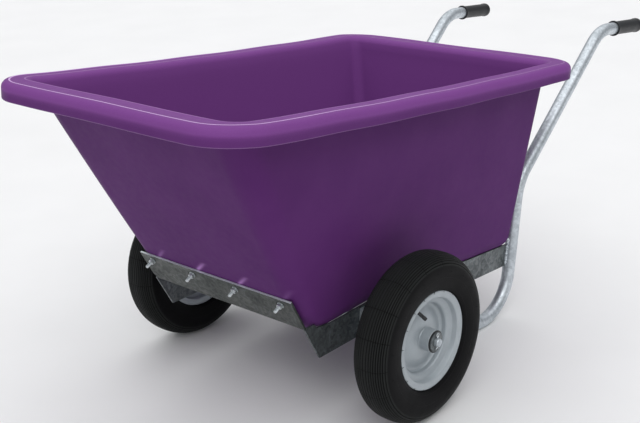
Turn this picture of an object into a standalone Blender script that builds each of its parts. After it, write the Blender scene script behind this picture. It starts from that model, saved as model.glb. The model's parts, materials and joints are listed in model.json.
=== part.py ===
"""Two-wheeled garden cart: a one-piece plastic tub bolted to a galvanised steel chassis.

Everything is drawn in the trim of a level rim: +X to the handles, -Y to the cart's left, Z up from the ground
under the wheels, with the axle at x = 0. The whole cart is then turned about its axle until its feet stand on
the floor too. Units are metres.
"""

import math

import bmesh
import bpy
from mathutils import Matrix, Vector

# ---- driving dimensions ----
GAP = 0.0003  # between pieces that touch
SIDES = {"left": -1, "right": 1}

TYRE_RADIUS = 0.200
TYRE_HALF_WIDTH = 0.047
HALF_TRACK = 0.381
BEAD_SEAT = 0.1015
FLANGE_RADIUS = 0.1165
FLANGE_Y = 0.0334
WELL_RADIUS = 0.085
RIM_SHEET = 0.0025
HUB_RADIUS = 0.0265
HUB_HALF_LENGTH = 0.043
BEARING_OUTER = 0.0235
BEARING_BORE = 0.0103
BEARING_WIDTH = 0.014
VALVE_ANGLE = math.radians(121)  # from the cart's rear, turning upwards
VALVE_BASE, VALVE_END = Vector((0.0063, 0.1119)), Vector((0.0430, 0.0730))  # (across, radius)

AXLE_RADIUS = 0.0125
STUB_RADIUS = 0.0100
AXLE_END = HALF_TRACK + 0.0575
PIN_Y = HALF_TRACK + 0.0500

RIM_TOP = 0.760
RIM_FRONT, RIM_REAR, RIM_HALF_WIDTH = -0.605, 0.669, 0.384
RIM_CORNER_FRONT, RIM_CORNER_REAR = 0.111, 0.100
RIM_LIP = 0.040
RIM_SHOULDER = 0.016
LEDGE_FRONT, LEDGE_REAR, LEDGE_HALF_WIDTH = -0.558, 0.608, 0.338
LEDGE_ROUND = 0.020
WALL = 0.005
WALL_LEAN_FRONT, WALL_LEAN_REAR, WALL_LEAN_SIDE = 0.633, 0.024, 0.139
WALL_FRONT_X, WALL_REAR_X, WALL_SIDE_Y = -0.2422, 0.5837, 0.2547  # outside, at height WALL_Z
WALL_Z = 0.260
FLOOR_Z = 0.2475
FLOOR_ROUND = 0.040
FLOOR_DIP = 0.12  # slope of the floor ahead of the axle
CORNER_SEGMENTS = 6

PLATE_TOP = Vector((-0.2873, 0, 0.321))  # the outer face's upper edge
PLATE_HEIGHT, PLATE_HALF_WIDTH, STEEL = 0.0890, 0.2467, 0.005
BOLT_ROW = 0.0172  # below the plate's upper edge
BOLT_YS = (-0.210, -0.070, 0.070, 0.210)
BOLT_RADIUS = 0.0040

RAIL_Y = 0.2465  # outer face
RAIL_TOP, RAIL_FRONT_BOTTOM, RAIL_REAR_BOTTOM = 0.2570, 0.1650, 0.1970
HORN_TOP = 0.2493
BRACKET_HALF_LENGTH, BRACKET_BOTTOM, BRACKET_TOP = 0.052, 0.168, 0.246

TUBE_RADIUS, TUBE_BORE = 0.0170, 0.0140
LEG_Y, LEG_X, TUBE_SPLAY = 0.250, 0.5956, 0.024
LEG_LEAN = 0.063
FOOT_RISE = math.radians(25)  # the foot's forward end, up to the rails
FOOT_BEND, SHOULDER_BEND, HANDLE_BEND = 0.123, 0.120, 0.110
HANDLE_Z = 0.803
GRIP_START, GRIP_END = 1.050, 1.192
GRIP_RADIUS, GRIP_FLANGE = 0.0190, 0.0218

TYRE_SEGMENTS, WHEEL_SEGMENTS, SMALL_SEGMENTS, BOLT_SEGMENTS, TUBE_SEGMENTS = 40, 28, 20, 12, 10


# ---- scene and materials ----
def clear_scene():
    for obj in list(bpy.data.objects):
        bpy.data.objects.remove(obj, do_unlink=True)


def material(name, color, roughness, metallic=0.0):
    made = bpy.data.materials.new(name)
    made.use_nodes = True
    shader = made.node_tree.nodes["Principled BSDF"]
    shader.inputs["Base Color"].default_value = (*color, 1.0)
    shader.inputs["Roughness"].default_value = roughness
    shader.inputs["Metallic"].default_value = metallic
    made.diffuse_color = (*color, 1.0)
    return made


def make_materials():
    return {
        "plastic": material("purple_plastic", (0.105, 0.030, 0.130), 0.45),
        "galvanised": material("galvanised_steel", (0.42, 0.45, 0.46), 0.45, 0.9),
        "zinc": material("zinc_plate", (0.62, 0.64, 0.65), 0.3, 1.0),
        "rubber": material("black_rubber", (0.012, 0.012, 0.013), 0.7),
        "paint": material("silver_paint", (0.33, 0.36, 0.39), 0.4, 0.3),
        "bright": material("bright_steel", (0.55, 0.56, 0.57), 0.25, 1.0),
    }


# ---- objects ----
def empty(name, parent=None, location=(0, 0, 0), matrix=None):
    made = bpy.data.objects.new(name, None)
    made.empty_display_size = 0.05
    bpy.context.scene.collection.objects.link(made)
    made.parent = parent
    if matrix is None:
        made.location = location
    else:
        made.matrix_local = matrix
    return made


def mesh_object(name, points, faces, look, parent, sharp=35.0):
    mesh = bpy.data.meshes.new(name)
    mesh.from_pydata([tuple(p) for p in points], [], faces)
    shape = bmesh.new()
    shape.from_mesh(mesh)
    bmesh.ops.recalc_face_normals(shape, faces=shape.faces)
    if shape.calc_volume(signed=True) < 0:
        bmesh.ops.reverse_faces(shape, faces=shape.faces)
    shape.to_mesh(mesh)
    shape.free()
    mesh.shade_smooth()
    mesh.set_sharp_from_angle(angle=math.radians(sharp))
    mesh.materials.append(look)
    made = bpy.data.objects.new(name, mesh)
    bpy.context.scene.collection.objects.link(made)
    made.parent = parent
    return made


def ring_faces(rings, count, closed):
    """Quads between rings of count points each; closed also joins the last ring to the first."""
    faces = []
    for i in range(rings if closed else rings - 1):
        a, b = i * count, (i + 1) % rings * count
        faces += [(a + j, a + (j + 1) % count, b + (j + 1) % count, b + j) for j in range(count)]
    return faces


def turned(name, profile, look, parent, segments=WHEEL_SEGMENTS, axis="Y"):
    """A ring: a closed profile of (along, radius) pairs turned about the axis."""
    points = []
    for k in range(segments):
        turn = 2 * math.pi * k / segments
        for along, radius in profile:
            u, w = radius * math.cos(turn), radius * math.sin(turn)
            points.append({"Y": (u, along, w), "X": (along, u, w), "Z": (u, w, along)}[axis])
    return mesh_object(name, points, ring_faces(segments, len(profile), True), look, parent)


def turned_solid(name, profile, look, parent, segments=SMALL_SEGMENTS, axis="Y"):
    """A solid of revolution: an open profile of (along, radius) pairs, closed flat at both ends."""
    points = []
    for along, radius in profile:
        for k in range(segments):
            turn = 2 * math.pi * k / segments
            u, w = radius * math.cos(turn), radius * math.sin(turn)
            points.append({"Y": (u, along, w), "X": (along, u, w), "Z": (u, w, along)}[axis])
    faces = ring_faces(len(profile), segments, False)
    last = (len(profile) - 1) * segments
    faces.append(tuple(range(segments)))
    faces.append(tuple(range(last, last + segments)))
    return mesh_object(name, points, faces, look, parent)


def extruded(name, outline, low, high, look, parent, axis="Y"):
    """A flat piece: a closed outline in the plane across the axis, from low to high along it."""
    place = {"Y": lambda a, b, c: (a, c, b), "Z": lambda a, b, c: (a, b, c)}[axis]
    count = len(outline)
    points = [place(a, b, c) for c in (low, high) for a, b in outline]
    faces = [(j, (j + 1) % count, count + (j + 1) % count, count + j) for j in range(count)]
    faces += [tuple(range(count)), tuple(range(count, 2 * count))]
    return mesh_object(name, points, faces, look, parent)


def divide(piece, planes):
    """Splits the faces of a piece along planes, each a (point, normal) pair, so that a face holds one hole at most."""
    shape = bmesh.new()
    shape.from_mesh(piece.data)
    for point, normal in planes:
        everything = shape.verts[:] + shape.edges[:] + shape.faces[:]
        bmesh.ops.bisect_plane(shape, geom=everything, plane_co=point, plane_no=normal)
    shape.to_mesh(piece.data)
    shape.free()


def cut(target, cutter):
    """Subtracts the cutter, which stays as a hidden guide."""
    cutter.hide_render = True
    cutter.display_type = "WIRE"
    hole = target.modifiers.new(cutter.name, "BOOLEAN")
    hole.object = cutter
    hole.operation = "DIFFERENCE"
    hole.solver = "EXACT"


def arc(centre, radius, start, end, segments):
    """Points (x, z) on an arc, angles in degrees from +X towards +Z."""
    turns = [math.radians(start + (end - start) * k / segments) for k in range(segments + 1)]
    return [(centre[0] + radius * math.cos(t), centre[1] + radius * math.sin(t)) for t in turns]


def filleted(corners, radii, segments=8):
    """A route through 2-D corners, with an arc of the given radius at each inner one."""
    route = [Vector(corners[0])]
    for before, corner, after, radius in zip(corners, corners[1:], corners[2:], radii):
        corner = Vector(corner)
        to_before = (Vector(before) - corner).normalized()
        to_after = (Vector(after) - corner).normalized()
        half = to_before.angle(to_after) / 2
        centre = corner + (to_before + to_after).normalized() * radius / math.sin(half)
        first = corner + to_before * radius / math.tan(half) - centre
        last = corner + to_after * radius / math.tan(half) - centre
        sweep = first.angle(last)
        for k in range(segments + 1):
            t = k / segments
            bend = math.sin((1 - t) * sweep) * first + math.sin(t * sweep) * last
            route.append(centre + bend / math.sin(sweep))
    route.append(Vector(corners[-1]))
    return route


def pipe(name, route, outer, inner, look, parent, segments=TUBE_SEGMENTS):
    """A hollow round tube, open at both ends, along a route of 3-D points that lie in one upright plane."""
    across = (route[-1] - route[0]).cross(Vector((0, 0, 1))).normalized()
    points = []
    for skin in (outer, inner):
        order = range(len(route)) if skin == outer else reversed(range(len(route)))
        for i in order:
            ahead = (route[min(i + 1, len(route) - 1)] - route[i]).normalized()
            behind = (route[i] - route[max(i - 1, 0)]).normalized()
            along = (ahead + behind).normalized()
            up = across.cross(along)
            stretch = 1 / max(along.dot(ahead), along.dot(behind))
            for k in range(segments):
                turn = 2 * math.pi * k / segments
                points.append(route[i] + skin * (math.cos(turn) * across + math.sin(turn) * stretch * up))
    return mesh_object(name, points, ring_faces(2 * len(route), segments, True), look, parent)


# ---- the tub ----
def rounded_rectangle(front, rear, half_width, front_round, rear_round):
    """Corner points of a plan outline, anticlockwise from the rear right corner, with one at x = 0 on each side."""
    corners = (
        (rear - rear_round, half_width - rear_round, rear_round, 0),
        (front + front_round, half_width - front_round, front_round, 90),
        (front + front_round, -half_width + front_round, front_round, 180),
        (rear - rear_round, -half_width + rear_round, rear_round, 270),
    )
    arcs = [arc((x, y), radius, start, start + 90, CORNER_SEGMENTS) for x, y, radius, start in corners]
    return arcs[0] + [(0.0, half_width)] + arcs[1] + arcs[2] + [(0.0, -half_width)] + arcs[3]


def floor_dip(x):
    return -FLOOR_DIP * max(0.0, -x)


def wall_outline(z, inset, follow=0.0):
    """The tub's outside at height z, drawn in by inset; follow lowers it with the sloping floor."""
    up = z - WALL_Z
    share = min(max(up / (RIM_TOP - WALL_Z), 0.0), 1.0)
    front = WALL_FRONT_X - WALL_LEAN_FRONT * up + inset * math.hypot(1, WALL_LEAN_FRONT)
    rear = WALL_REAR_X + WALL_LEAN_REAR * up - inset
    side = WALL_SIDE_Y + WALL_LEAN_SIDE * up - inset
    nose = min(max(1 - up / 0.040, 0.0), 1.0)
    front_round = max(0.045 + 0.022 * share + 0.025 * nose - inset * 0.8, 0.010)
    rear_round = max(0.044 - inset * 0.8, 0.010)
    ring = []
    for x, y in rounded_rectangle(front, rear, side, front_round, rear_round):
        drop = floor_dip(x) * follow
        ahead = max(0.0, x / front) if x < 0 else 0.0
        ring.append((x - WALL_LEAN_FRONT * drop * ahead, y * (1 + WALL_LEAN_SIDE * drop / side), z + drop))
    return ring


def rim_outline(z, inset):
    return [
        (x, y, z)
        for x, y in rounded_rectangle(
            RIM_FRONT + inset, RIM_REAR - inset, RIM_HALF_WIDTH - inset,
            RIM_CORNER_FRONT - inset, RIM_CORNER_REAR - inset,
        )
    ]


def ledge_outline(z, inset):
    """The inner edge of the rim's flat top, drawn out by -inset towards the wall."""
    return [
        (x, y, z)
        for x, y in rounded_rectangle(
            LEDGE_FRONT + inset, LEDGE_REAR - inset, LEDGE_HALF_WIDTH - inset, 0.048 - inset, 0.044 - inset
        )
    ]


def tub_skin(offset, floor_level, floor_round):
    """Rings of one face of the wall, from its floor up to just under the rim; offset is into the wall."""
    rings = []
    for turn in (90, 67, 45, 22, 0):
        sink = floor_round * (1 - math.cos(math.radians(90 - turn)))
        draw = floor_round * (1 - math.cos(math.radians(turn)))
        rings.append(wall_outline(floor_level + floor_round - floor_round * math.sin(math.radians(turn)),
                                  offset + draw, follow=1.0 - 0.15 * sink / floor_round))
    for z, follow in ((0.34, 0.35), (0.42, 0.0), (0.60, 0.0)):
        rings.append(wall_outline(z, offset, follow))
    return rings


def build_tub(look, parent):
    outside = tub_skin(0.0, FLOOR_Z, FLOOR_ROUND)
    outside.append(wall_outline(RIM_TOP - 0.030, 0.0))
    outside.append(rim_outline(RIM_TOP - WALL - 0.004, 0.050))
    outside.append(rim_outline(RIM_TOP - WALL, 0.040))
    outside.append(rim_outline(RIM_TOP - WALL, RIM_SHOULDER))
    outside.append(rim_outline(RIM_TOP - RIM_SHOULDER, WALL))
    outside.append(rim_outline(RIM_TOP - RIM_LIP, WALL))
    outside.append(rim_outline(RIM_TOP - RIM_LIP, 0.0))
    for turn in (0, 30, 60, 90):
        drop = RIM_SHOULDER * (1 - math.sin(math.radians(turn)))
        inset = RIM_SHOULDER * (1 - math.cos(math.radians(turn)))
        outside.append(rim_outline(RIM_TOP - drop, inset))
    outside.append(ledge_outline(RIM_TOP, 0.0))
    for turn in (35, 70):
        lean = math.radians(turn)
        outside.append(ledge_outline(RIM_TOP - LEDGE_ROUND * (1 - math.cos(lean)), LEDGE_ROUND * math.sin(lean)))
    inside = tub_skin(WALL, FLOOR_Z + WALL, FLOOR_ROUND - WALL)
    rings = outside + inside[::-1]
    points = [p for ring in rings for p in ring]
    count = len(rings[0])
    faces = ring_faces(len(rings), count, False)
    for first, turn in ((0, 1), ((len(rings) - 1) * count, -1)):
        faces += floor_faces(first, count, turn)
    return mesh_object("tub", points, faces, look, parent)


def floor_faces(first, count, turn):
    """Strips across a floor ring, from the rear edge to the front one."""
    right = [first + k for k in range(count // 2)]
    left = [first + count - 1 - k for k in range(count // 2)]
    strips = [(right[k], right[k + 1], left[k + 1], left[k]) for k in range(count // 2 - 1)]
    return [strip[::turn] for strip in strips]


# ---- chassis ----
def slope_frame():
    """Axes of the front plate: X to the left, Y up the slope, Z out of its face."""
    up_slope = Vector((-WALL_LEAN_FRONT, 0, 1)).normalized()
    left = Vector((0, -1, 0))
    out = left.cross(up_slope)
    rotation = Matrix((left, up_slope, out)).transposed()
    return Matrix.Translation(PLATE_TOP) @ rotation.to_4x4()


def build_front_plate(looks, body, tub):
    """The bar across the nose of the tub, its four bolts and their slots."""
    slope = empty("front_plate_slope", body, matrix=slope_frame())
    half, low = PLATE_HALF_WIDTH, -PLATE_HEIGHT
    outline = [(-half, 0), (half, 0), (half, low), (-half + 0.010, low), (-half, low + 0.014)]
    plate = extruded("front_plate", outline, -STEEL, 0, looks["galvanised"], slope, axis="Z")
    divide(plate, [((0, -BOLT_ROW, 0), (0, 1, 0))] + [((x, 0, 0), (1, 0, 0)) for x in (-0.140, 0.0, 0.140)])
    for number, y in enumerate(BOLT_YS, start=1):
        spot = empty(f"front_bolt_spot_{number}", slope, (-y, -BOLT_ROW, 0))
        slot = slot_outline(BOLT_RADIUS + GAP, 0.010)
        cut(plate, extruded(f"slot_{number}", slot, -0.020, 0.020, looks["zinc"], spot, axis="Z"))
        hole = [(-0.030, BOLT_RADIUS + GAP), (0.010, BOLT_RADIUS + GAP)]
        cut(tub, turned_solid(f"tub_hole_{number}", hole, looks["zinc"], spot, BOLT_SEGMENTS, "Z"))
        seat = 0.0025 if number in (1, 4) else 0.0006  # the wall starts to curve away at the outer bolts
        build_bolt(f"front_bolt_{number}", looks["zinc"], spot, -STEEL - 0.0006 - WALL - seat, 0.0235)
        turned(f"front_washer_{number}", washer_profile(0.0003, 0.0016, BOLT_RADIUS + GAP, 0.0085),
               looks["zinc"], spot, BOLT_SEGMENTS, "Z")
        build_nut(f"front_nut_{number}", looks["zinc"], spot, 0.0022, 0.0065)
    return slope


def slot_outline(radius, length):
    """A slot that runs from the bolt towards the cart's right."""
    right_end = arc((-length, 0), radius, 90, 270, 6)
    left_end = arc((0, 0), radius, 270, 450, 6)
    return right_end + left_end


def washer_profile(low, thickness, bore, radius):
    return [(low, bore), (low, radius), (low + thickness, radius), (low + thickness, bore)]


def build_bolt(name, look, spot, under_head, end):
    """A cup-head bolt along Z: its head below under_head, its shank up to end."""
    head = [(under_head - 0.0045, 0.0040), (under_head - 0.0036, 0.0075), (under_head - 0.0016, 0.0098)]
    shank = [(under_head, 0.0100), (under_head, BOLT_RADIUS), (end - 0.0008, BOLT_RADIUS), (end, 0.0032)]
    return turned_solid(name, head + shank, look, spot, BOLT_SEGMENTS, "Z")


def build_nut(name, look, spot, low, height):
    """A hexagon nut with a plain bore."""
    across = 0.0065 / math.cos(math.radians(30))
    count = 12
    points = []
    for radius, z in ((BOLT_RADIUS + GAP, low), (across, low), (across, low + height),
                      (BOLT_RADIUS + GAP, low + height)):
        for k in range(count):
            turn = 2 * math.pi * k / count
            reach = radius
            if radius == across and k % 2:
                reach = across * math.cos(math.radians(30))
            points.append((reach * math.cos(turn), reach * math.sin(turn), z))
    return mesh_object(name, points, ring_faces(4, count, True), look, spot)


def build_rails(looks, body):
    """Two deep side plates on edge, notched over the axle."""
    slope = Vector((WALL_LEAN_FRONT, -1)).normalized()
    corner = Vector((PLATE_TOP.x, PLATE_TOP.z)) + slope * (PLATE_HEIGHT + GAP)
    inner = corner + Vector((-slope.y, slope.x)) * (STEEL + GAP)
    toe = corner + slope * ((corner.y - RAIL_FRONT_BOTTOM) / -slope.y)
    leg_front = leg_point(RAIL_TOP)[0] - TUBE_RADIUS
    notch = AXLE_RADIUS + GAP
    taper_end = 0.060
    bottom = RAIL_REAR_BOTTOM - 0.012
    outline = [(toe.x, toe.y), (corner.x, corner.y), (inner.x, inner.y), (inner.x + 0.0015, HORN_TOP)]
    outline += [(-0.207, HORN_TOP), (-0.201, 0.2400), (-0.150, 0.2385), (0.010, RAIL_TOP - 0.001)]
    outline += [(leg_front, RAIL_TOP), (leg_front - LEG_LEAN * 0.06, RAIL_REAR_BOTTOM)]
    outline += [(taper_end, bottom), (notch, bottom - 0.003)]
    outline += arc((0, TYRE_RADIUS), notch, 0, 180, 10)
    outline += [(-notch, bottom - 0.004)]
    for side, sign in SIDES.items():
        low, high = sorted((sign * RAIL_Y, sign * (RAIL_Y - STEEL)))
        extruded(f"side_rail_{side}", outline, low, high, looks["galvanised"], body)


def build_brackets(looks, body):
    """Axle plates on the outside of the rails, each with a flange on its front edge."""
    for side, sign in SIDES.items():
        near, far = RAIL_Y + GAP, RAIL_Y + GAP + STEEL
        length, flange = BRACKET_HALF_LENGTH, 0.022
        plan = [(-length, near), (length, near), (length, far), (-length + STEEL, far),
                (-length + STEEL, far + flange), (-length, far + flange)]
        plan = [(x, sign * y) for x, y in plan]
        bracket = extruded(f"axle_bracket_{side}", plan, BRACKET_BOTTOM, BRACKET_TOP, looks["galvanised"],
                           body, axis="Z")
        bore = [(sign * 0.2, AXLE_RADIUS + GAP), (sign * 0.3, AXLE_RADIUS + GAP)]
        cutter = turned_solid(f"axle_bore_{side}", bore, looks["zinc"], body)
        cutter.location = (0, 0, TYRE_RADIUS)
        cut(bracket, cutter)


def build_cross_members(looks, body):
    """Flat bars between the rails that the tub's floor lies on."""
    inside = RAIL_Y - STEEL - GAP
    for name, x, half in (("cross_member_front", 0.050, 0.020), ("cross_member_rear", 0.500, 0.025)):
        high = FLOOR_Z - GAP
        outline = [(x - half, -inside), (x + half, -inside), (x + half, inside), (x - half, inside)]
        extruded(name, outline, high - STEEL, high, looks["galvanised"], body, axis="Z")


def leg_point(z):
    """The handle tube's centre line on its leg: (x, z)."""
    return (LEG_X + LEG_LEAN * (z - 0.300), z)


def tube_corners():
    """Corners (x, z) of the handle tube: rail end, foot, shoulder, handle bend and grip end."""
    foot = leg_point(-0.0017)
    run = 0.400
    start = (foot[0] - run * math.cos(FOOT_RISE), foot[1] + run * math.sin(FOOT_RISE))
    return [start, foot, leg_point(0.428), (0.9715, HANDLE_Z), (GRIP_END - 0.009, HANDLE_Z)]


def tube_plane_y(x):
    return LEG_Y + TUBE_SPLAY * (x - LEG_X)


def build_handles(looks, body):
    """The two bent tubes that are feet, legs and handles, with their grips."""
    route = filleted(tube_corners(), (FOOT_BEND, SHOULDER_BEND, HANDLE_BEND))
    for side, sign in SIDES.items():
        points = [Vector((p[0], sign * tube_plane_y(p[0]), p[1])) for p in route]
        pipe(f"handle_tube_{side}", points, TUBE_RADIUS, TUBE_BORE, looks["galvanised"], body)
        turn = Matrix.Rotation(sign * math.atan(TUBE_SPLAY), 4, "Z")
        place = Matrix.Translation((GRIP_START, sign * tube_plane_y(GRIP_START), HANDLE_Z)) @ turn
        hold = empty(f"grip_axis_{side}", body, matrix=place)
        build_grip(f"grip_{side}", looks["rubber"], hold)


def build_grip(name, look, hold):
    """A moulded sleeve closed at its outer end, with a flange at each end."""
    length = GRIP_END - GRIP_START
    bore = TUBE_RADIUS + GAP
    inside = [(length - 0.006, 0.010), (length - 0.006, bore)]
    mouth = [(0.0, bore), (0.0, GRIP_FLANGE), (0.004, GRIP_FLANGE), (0.007, GRIP_RADIUS)]
    dome = [(length - 0.014, GRIP_RADIUS), (length - 0.010, GRIP_FLANGE - 0.002),
            (length - 0.005, GRIP_FLANGE - 0.002), (length - 0.001, 0.0170), (length, 0.0100)]
    return turned_solid(name, inside + mouth + dome, look, hold, axis="X")


# ---- wheels ----
def tyre_profile():
    """The C-shaped section of the tyre: outside from bead to bead, then inside back again."""
    outside = [(0.0225, 0.1022), (0.0325, 0.1022), (0.0325, 0.1173), (0.0400, 0.1188), (TYRE_HALF_WIDTH, 0.1560),
               (0.0430, 0.1850), (0.0240, 0.1972), (0.0, TYRE_RADIUS)]
    inside = [(0.0, 0.1920), (0.0220, 0.1895), (0.0430, 0.1560), (0.0235, 0.1140)]
    left = [(-y, r) for y, r in outside[:-1]]
    return outside + left[::-1] + [(-y, r) for y, r in inside[:0:-1]] + inside


def barrel_profile():
    """The rolled wheel rim: flange, bead seat and well, in one thickness of sheet."""
    sheet = RIM_SHEET
    lip = FLANGE_Y + sheet
    outside = [(lip, FLANGE_RADIUS), (FLANGE_Y, FLANGE_RADIUS), (FLANGE_Y, BEAD_SEAT), (0.0200, BEAD_SEAT),
               (0.0125, WELL_RADIUS)]
    inside = [(0.0140, WELL_RADIUS - sheet), (0.0215, BEAD_SEAT - sheet), (lip, BEAD_SEAT - sheet)]
    both = [(-y, r) for y, r in outside]
    return outside + both[::-1] + [(-y, r) for y, r in inside[::-1]] + inside


def disc_profile():
    """The dished centre disc between the hub and the well."""
    face = [(0.0130, HUB_RADIUS + GAP), (0.0120, 0.0450), (-0.0020, 0.0740), (0.0, WELL_RADIUS - RIM_SHEET - GAP)]
    back = [(y - RIM_SHEET, r) for y, r in face]
    return face + back[::-1]


def hub_profile():
    seat = BEARING_OUTER + GAP
    shoulder = HUB_HALF_LENGTH - BEARING_WIDTH - 0.002
    half = [(HUB_HALF_LENGTH, HUB_RADIUS), (HUB_HALF_LENGTH, seat), (shoulder, seat), (shoulder, seat - 0.0025)]
    return [(-y, r) for y, r in half] + half[::-1]


def build_inner_tube(name, look, wheel, angle):
    """A thin hollow ring with a small opening at its valve."""
    centre, outer, inner, steps = 0.1495, 0.0340, 0.0310, 16
    section = [math.radians(a) for a in (7, 18, 70, 120, 170, 220, 270, 315)]
    turns = [angle - 0.035, angle + 0.035] + [angle + 2 * math.pi * k / steps for k in range(1, steps)]
    points = []
    for radius in (outer, inner):
        for turn in turns:
            for a in section:
                reach = centre - radius * math.cos(a)
                points.append((reach * math.cos(turn), radius * math.sin(a), reach * math.sin(turn)))
    count, size = len(section), len(turns) * len(section)
    skin = ring_faces(len(turns), count, True)
    opening = (0, 1, count + 1, count)
    skin = [face for face in skin if set(face) != set(opening)]
    faces = skin + [tuple(size + f for f in face[::-1]) for face in skin]
    faces += [(a, b, size + b, size + a) for a, b in zip(opening, opening[1:] + opening[:1])]
    return mesh_object(name, points, faces, look, wheel)


def build_valve(side, looks, wheel, rim, angle):
    """A rubber valve that leans out of the well towards the hub, with its cap."""
    lean = VALVE_END - VALVE_BASE
    length = lean.length
    radial = Vector((math.cos(angle), 0, math.sin(angle)))
    along = (lean.x * Vector((0, 1, 0)) + lean.y * radial).normalized()
    across = along.cross(Vector((0, 1, 0)).cross(radial)).normalized()
    turn = Matrix((along, across, along.cross(across))).transposed().to_4x4()
    base = VALVE_BASE.x * Vector((0, 1, 0)) + VALVE_BASE.y * radial
    spot = empty(f"valve_axis_{side}", wheel, matrix=Matrix.Translation(base) @ turn)
    stem = [(0.0, 0.0055), (0.0016, 0.0055), (0.0030, 0.0044), (length - 0.0095, 0.0040)]
    turned_solid(f"valve_stem_{side}", stem, looks["rubber"], spot, BOLT_SEGMENTS, "X")
    cap = [(length - 0.0092, 0.0044), (length - 0.0008, 0.0044), (length, 0.0036)]
    turned_solid(f"valve_cap_{side}", cap, looks["rubber"], spot, BOLT_SEGMENTS, "X")
    hole = [(0.004, 0.0050), (0.026, 0.0050)]
    cut(rim, turned_solid(f"valve_hole_{side}", hole, looks["zinc"], spot, BOLT_SEGMENTS, "X"))


def build_bearing(name, looks, wheel, root, y):
    """A shielded ball bearing as its two halves: the outer one turns with the wheel."""
    half = BEARING_WIDTH / 2
    race = 0.0142
    outer = [(-half, race + 0.0006), (-half, BEARING_OUTER), (half, BEARING_OUTER), (half, race + 0.0006)]
    turned(f"{name}_outer_race", [(y + a, r) for a, r in outer], looks["bright"], wheel, SMALL_SEGMENTS)
    inner = [(-half, BEARING_BORE), (-half, race), (half, race), (half, BEARING_BORE)]
    turned(f"{name}_inner_race", [(y + a, r) for a, r in inner], looks["bright"], root, SMALL_SEGMENTS)


def build_wheel(side, looks, body, axle):
    """A wheel drawn with +Y outwards, on an empty that lies on its axis."""
    half_turn = math.pi if side == "left" else 0.0
    place = Matrix.Translation((0, SIDES[side] * HALF_TRACK, TYRE_RADIUS)) @ Matrix.Rotation(half_turn, 4, "Z")
    wheel = empty(f"wheel_axis_{side}", body, matrix=place)
    held = empty(f"axle_end_{side}", body, matrix=place)
    turned(f"tyre_{side}", tyre_profile(), looks["rubber"], wheel, TYRE_SEGMENTS)
    rim = turned(f"rim_{side}", barrel_profile(), looks["paint"], wheel)
    turned(f"wheel_disc_{side}", disc_profile(), looks["paint"], wheel)
    turned(f"hub_{side}", hub_profile(), looks["paint"], wheel, SMALL_SEGMENTS)
    angle = VALVE_ANGLE if side == "right" else math.pi - VALVE_ANGLE
    build_inner_tube(f"inner_tube_{side}", looks["rubber"], wheel, angle)
    build_valve(side, looks, wheel, rim, angle)
    seat = HUB_HALF_LENGTH - 0.0018 - BEARING_WIDTH / 2
    build_bearing(f"outer_bearing_{side}", looks, wheel, held, seat)
    build_bearing(f"inner_bearing_{side}", looks, wheel, held, -seat)
    face = HUB_HALF_LENGTH + GAP
    seal = [(face, 0.0150), (face, HUB_RADIUS - GAP), (face + 0.0013, HUB_RADIUS - GAP), (face + 0.0013, 0.0150)]
    turned(f"hub_seal_{side}", seal, looks["rubber"], wheel, SMALL_SEGMENTS)
    washer = washer_profile(face + 0.0017, 0.0022, BEARING_BORE, 0.0228)
    turned(f"axle_washer_{side}", washer, looks["zinc"], held, SMALL_SEGMENTS)
    build_split_pin(f"split_pin_{side}", looks["zinc"], held, axle, side)


def build_split_pin(name, look, held, axle, side):
    """A pin through the axle's end: an eye above it, one leg turned back below it."""
    y, wire = PIN_Y - HALF_TRACK, 0.0016
    eye = arc((0, 0.0172), 0.0042, 250, -40, 10)
    leg = [(eye[0][0], 0.0120), (eye[0][0], -0.0125)]
    hook = arc((eye[0][0] + 0.0040, -0.0125), 0.0040, 180, 290, 5)
    route = [Vector((x, y, z)) for x, z in hook[::-1] + leg[::-1] + eye]
    route = [p for p, q in zip(route, route[1:]) if (p - q).length > 1e-5] + [route[-1]]
    rings = []
    for i, point in enumerate(route):
        along = (route[min(i + 1, len(route) - 1)] - route[max(i - 1, 0)]).normalized()
        across = along.cross(Vector((0, 1, 0)))
        rings += [point + wire * (math.cos(t) * across + math.sin(t) * Vector((0, 1, 0)))
                  for t in (2 * math.pi * k / 8 for k in range(8))]
    faces = ring_faces(len(route), 8, False)
    last = (len(route) - 1) * 8
    faces += [tuple(range(8)), tuple(range(last, last + 8))]
    mesh_object(name, rings, faces, look, held)
    hole = [(-0.015, wire + GAP), (0.015, wire + GAP)]
    bore = turned_solid(f"pin_hole_{side}", hole, look, held, BOLT_SEGMENTS, "Z")
    bore.location = (eye[0][0], y, 0)
    cut(axle, bore)


def build_axle(looks, body):
    """One solid bar with turned-down ends that carry the wheels."""
    shoulder = HALF_TRACK - HUB_HALF_LENGTH + 0.0015
    half = [(shoulder, AXLE_RADIUS), (shoulder, STUB_RADIUS), (AXLE_END - 0.0030, STUB_RADIUS),
            (AXLE_END - 0.0008, STUB_RADIUS - 0.0012), (AXLE_END, STUB_RADIUS - 0.0032)]
    profile = [(-y, r) for y, r in half[::-1]] + half
    axle = turned_solid("axle", profile, looks["galvanised"], body)
    axle.location = (0, 0, TYRE_RADIUS)
    return axle


# ---- the whole cart ----
def standing_tilt():
    """The turn about the axle that brings the feet down to the wheels' floor."""
    lean = math.atan(LEG_LEAN)
    corner = Vector(tube_corners()[1])
    half = (math.pi / 2 - FOOT_RISE + lean) / 2
    up_leg = Vector((math.sin(lean), math.cos(lean)))
    forward = Vector((-math.cos(FOOT_RISE), math.sin(FOOT_RISE)))
    centre = corner + (up_leg + forward).normalized() * FOOT_BEND / math.sin(half)
    reach = math.hypot(centre.x, TYRE_RADIUS - centre.y)
    need = TYRE_RADIUS - FOOT_BEND - TUBE_RADIUS
    return math.asin(need / reach) - math.atan2(TYRE_RADIUS - centre.y, centre.x)


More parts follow.
